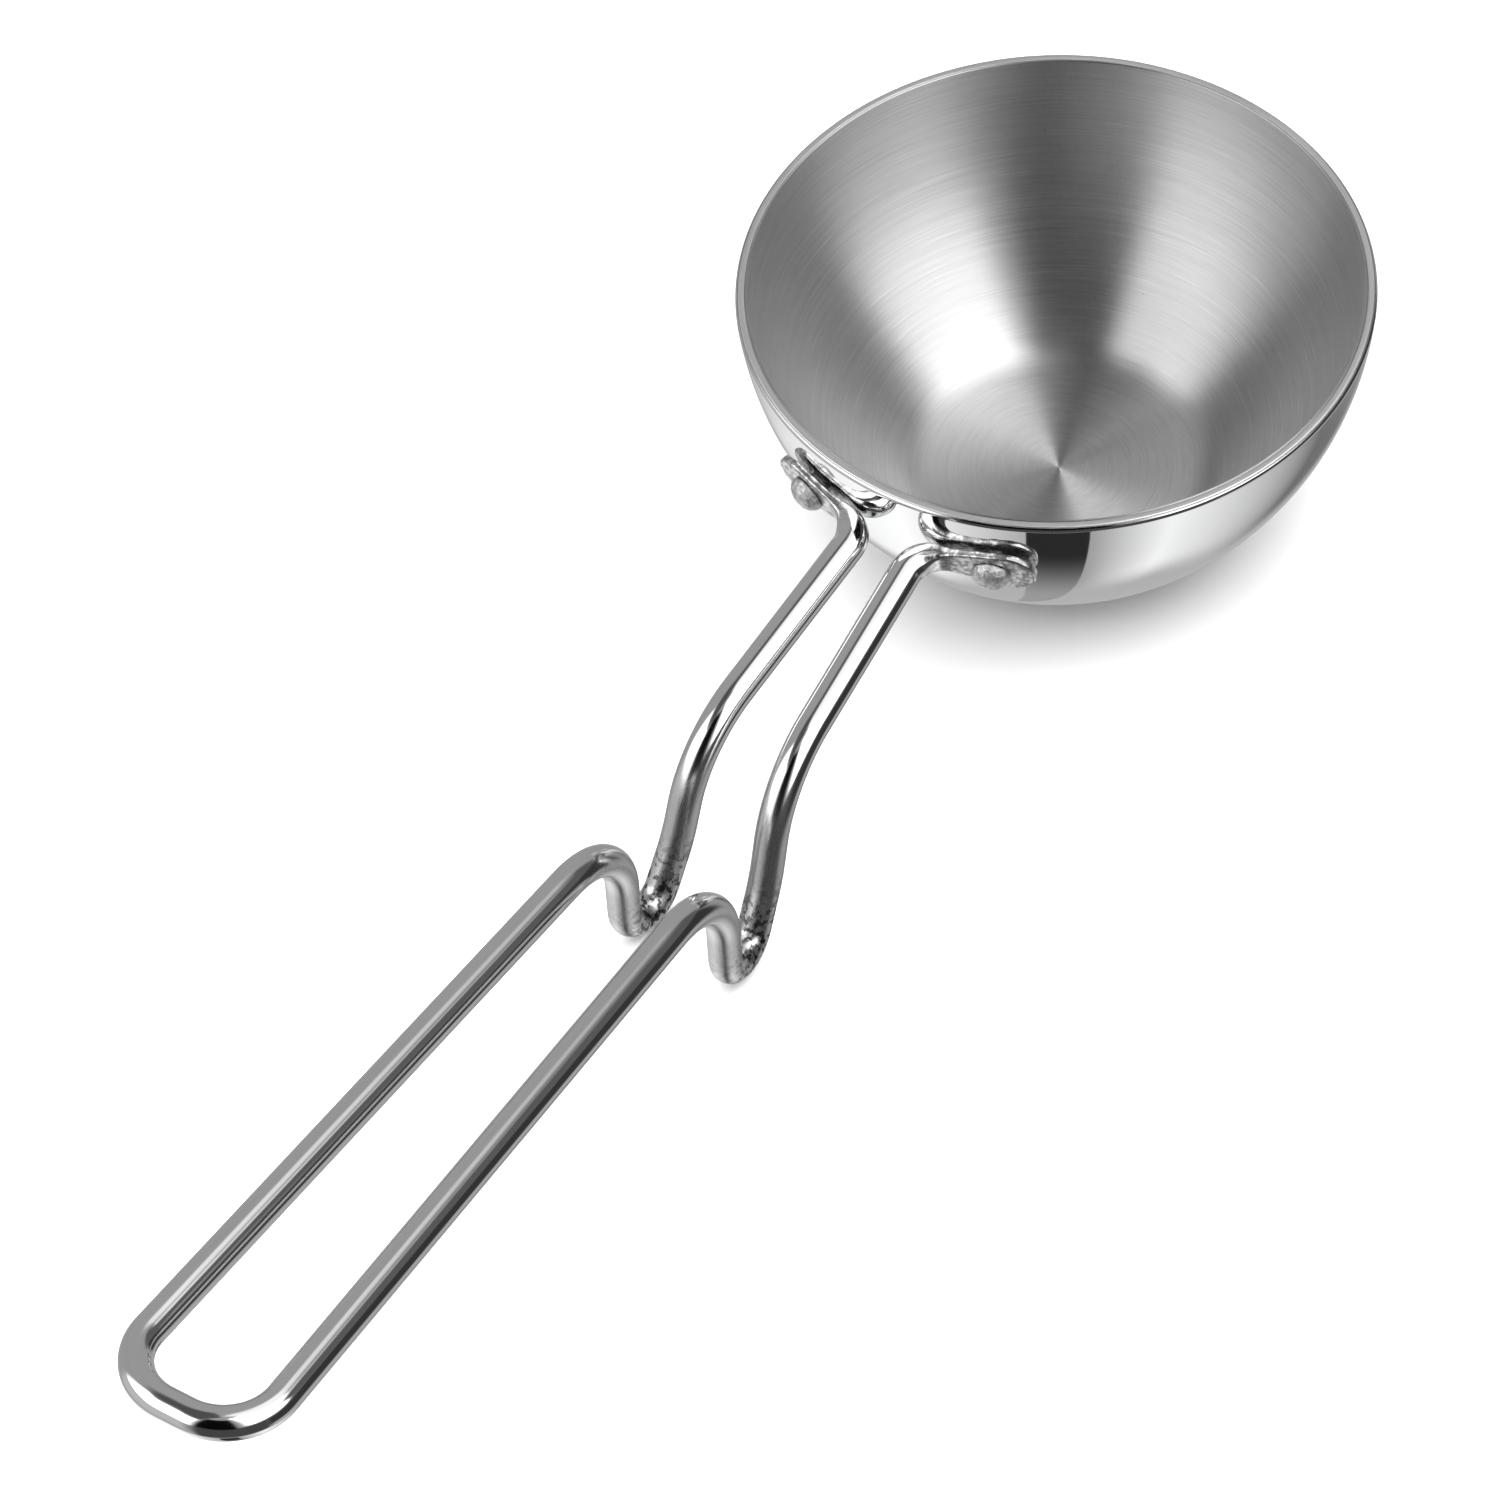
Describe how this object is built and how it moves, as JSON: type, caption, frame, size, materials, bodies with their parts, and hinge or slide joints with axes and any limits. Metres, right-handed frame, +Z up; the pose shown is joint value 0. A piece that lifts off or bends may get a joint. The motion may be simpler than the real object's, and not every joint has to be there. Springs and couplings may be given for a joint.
{
  "type": "candle melting pot",
  "caption": "Small round-bottomed metal melting pot with a flat base and a long handle bent from one steel rod, riveted to the bowl by two flat lugs.",
  "frame": {"origin": "centre of the bowl's flat base, on the surface it stands on", "axes": "+Z up out of the bowl; the handle runs along -X; the handle's two rods mirror each other across Y = 0"},
  "size_m": [0.3384, 0.115, 0.0537],
  "materials": {
    "mirror_steel": "stainless steel polished to a mirror",
    "aluminium": "bare rolled aluminium, seen only as a line in the rim",
    "spun_steel": "stainless steel with fine concentric brushing",
    "rod_steel": "polished round stainless rod, dulled in the bends",
    "rivet_steel": "hammered stainless rivet head"
  },
  "bodies": {
    "root": {"outer_skin": "mirror_steel", "aluminium_core": "aluminium", "inner_liner": "spun_steel", "handle_rod": "rod_steel", "rivet_left": "rivet_steel", "rivet_right": "rivet_steel"}
  },
  "joints": []
}
